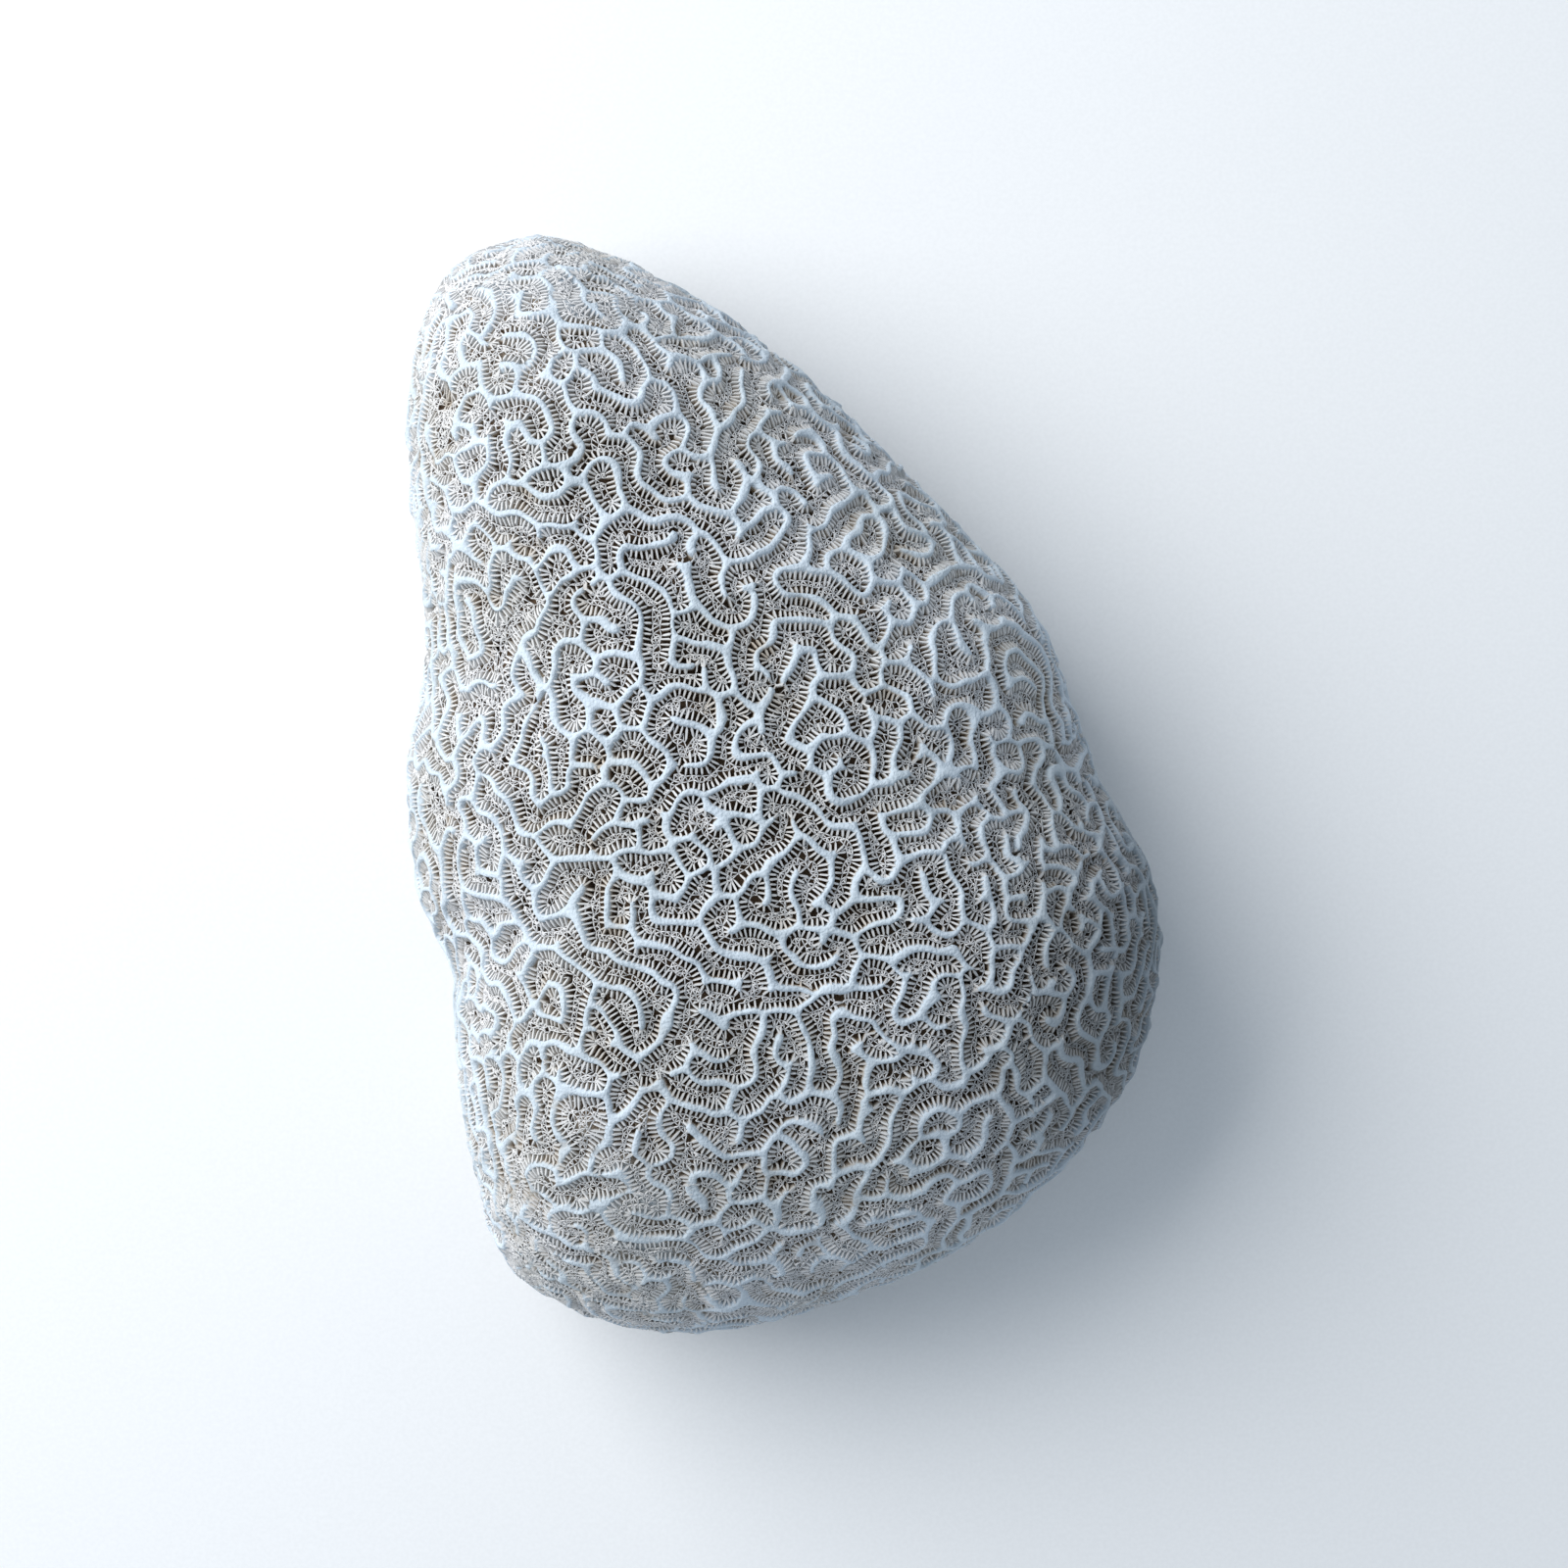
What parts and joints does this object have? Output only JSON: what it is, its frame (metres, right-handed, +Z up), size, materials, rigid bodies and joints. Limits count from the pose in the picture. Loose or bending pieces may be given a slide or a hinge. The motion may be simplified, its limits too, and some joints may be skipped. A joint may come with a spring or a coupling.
{
  "type": "brain coral",
  "caption": "Bleached skeleton of a domed brain coral colony with a maze of ridges over its whole top, sawn flat underneath to rest on a surface.",
  "frame": {"origin": "middle of the colony's plan, on the saw cut that it rests on", "axes": "+Z up out of the dome, +Y along the colony towards the narrow thumb end, +X towards the shoulder lobe"},
  "size_m": [0.1168, 0.17, 0.062],
  "materials": {
    "skeleton": "dry bleached aragonite: chalky matt cool white ridges, slightly warmer plates between them and tan-brown shadow stain deep in the valleys"
  },
  "bodies": {
    "root": {"coral": "skeleton"}
  },
  "joints": []
}
